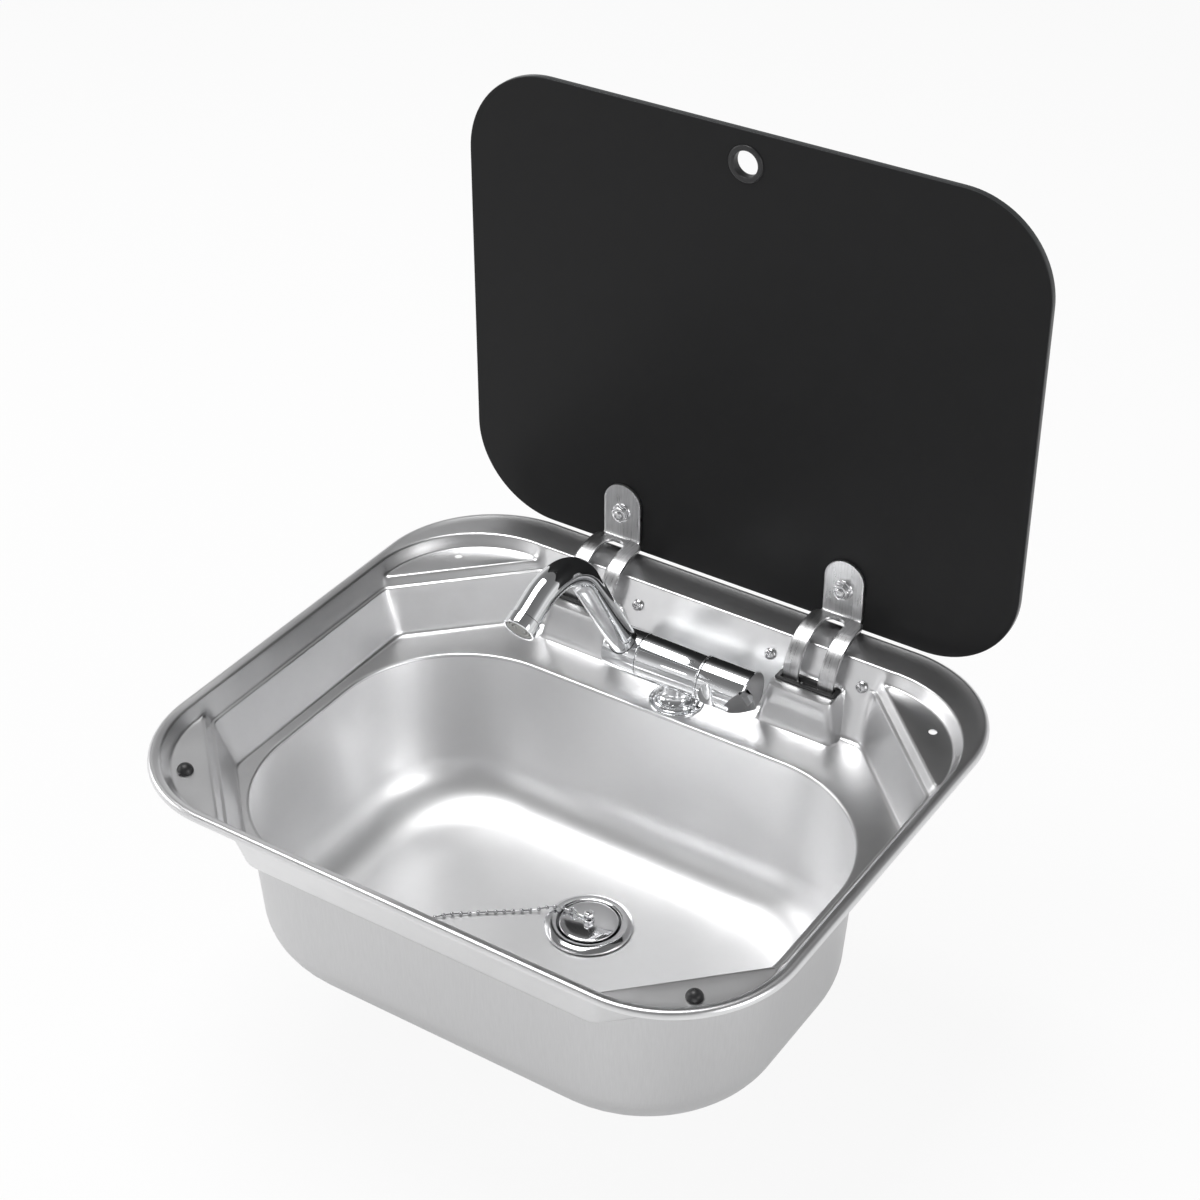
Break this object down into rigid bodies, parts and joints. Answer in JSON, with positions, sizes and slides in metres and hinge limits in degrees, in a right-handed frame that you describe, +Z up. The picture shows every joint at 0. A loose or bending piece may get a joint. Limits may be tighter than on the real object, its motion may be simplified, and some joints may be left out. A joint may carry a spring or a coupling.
{
  "type": "inset sink with folding glass lid",
  "caption": "Inset stainless caravan sink: pressed tray and bowl, folding cold tap, waste with stopper on a ball chain, and a black glass lid on gooseneck hinges.",
  "frame": {"origin": "centre of the rim, in the plane of the worktop that the rim lies on", "axes": "+X to the right along the hinge line, +Y to the back where the lid is hinged, +Z up"},
  "size_m": [0.42, 0.3712, 0.5351],
  "materials": {
    "satin_steel": "satin stainless sheet",
    "polished_chrome": "polished chrome plate",
    "plated_steel": "dull zinc or nickel plate",
    "raw_brass": "plain machined brass",
    "black_plastic": "moulded, fine grain",
    "black_rubber": "matt",
    "black_glass": "black tempered glass with a polished edge",
    "white_plastic": "moulded"
  },
  "bodies": {
    "basin": {"tray": "satin_steel", "bowl": "satin_steel", "tap_body": "polished_chrome", "tap_base_ring": "polished_chrome", "drain_flange": "polished_chrome", "stopper_chain": "polished_chrome", "chain_anchor": "polished_chrome", "hinge_pin_left": "plated_steel", "hinge_pin_right": "plated_steel", "hinge_screw_left_outer": "plated_steel", "hinge_screw_left_inner": "plated_steel", "hinge_screw_right_outer": "plated_steel", "hinge_screw_right_inner": "plated_steel", "tap_cartridge": "raw_brass", "tap_shank": "raw_brass", "tap_lock_nut": "raw_brass", "tap_hose_tail": "raw_brass", "slot_liner_left": "black_plastic", "slot_liner_right": "black_plastic", "hinge_housing_left": "black_plastic", "hinge_housing_right": "black_plastic", "waste_body": "black_plastic", "waste_lock_nut": "black_plastic", "waste_tail": "black_plastic", "rim_gasket": "black_rubber", "lid_bumper_left": "black_rubber", "lid_bumper_right": "black_rubber", "tap_washer": "black_rubber", "drain_seal": "black_rubber", "drain_under_seal": "black_rubber"},
    "lid": {"lid_glass": "black_glass", "finger_grommet": "black_rubber", "lid_bracket_left": "satin_steel", "lid_bracket_right": "satin_steel", "lid_pad_left": "black_rubber", "lid_pad_right": "black_rubber", "lid_bolt_left": "plated_steel", "lid_bolt_right": "plated_steel", "lid_washer_left": "black_rubber", "lid_washer_right": "black_rubber", "lid_nut_left": "plated_steel", "lid_nut_right": "plated_steel"},
    "spout": {"spout_hub": "polished_chrome", "spout_tube": "polished_chrome", "aerator_housing": "polished_chrome", "aerator_insert": "white_plastic"},
    "knob": {"tap_knob": "polished_chrome", "knob_spindle": "raw_brass"},
    "stopper": {"stopper_cap": "polished_chrome", "stopper_link": "polished_chrome", "stopper_seal": "black_rubber"}
  },
  "joints": [
    {"name": "lid_hinge", "type": "hinge", "parent": "basin", "child": "lid", "pos_m": [0, 0.166, -0.0144], "axis": [1, 0, 0], "range_deg": [0, 90]},
    {"name": "spout_fold", "type": "hinge", "parent": "basin", "child": "spout", "pos_m": [-0.032, 0.111, -0.0153], "axis": [1, 0, 0], "range_deg": [0, 60]},
    {"name": "knob_turn", "type": "hinge", "parent": "basin", "child": "knob", "pos_m": [0.04, 0.111, -0.0153], "axis": [1, 0, 0], "range_deg": [0, 90]},
    {"name": "stopper_lift", "type": "slide", "parent": "basin", "child": "stopper", "axis": [0, 0, 1], "range_m": [0, 0.025], "deforming": ["stopper_chain"]}
  ],
  "couplings": [
    {"joint": "spout_fold", "follows": "lid_hinge", "ratio": 0.6666}
  ]
}
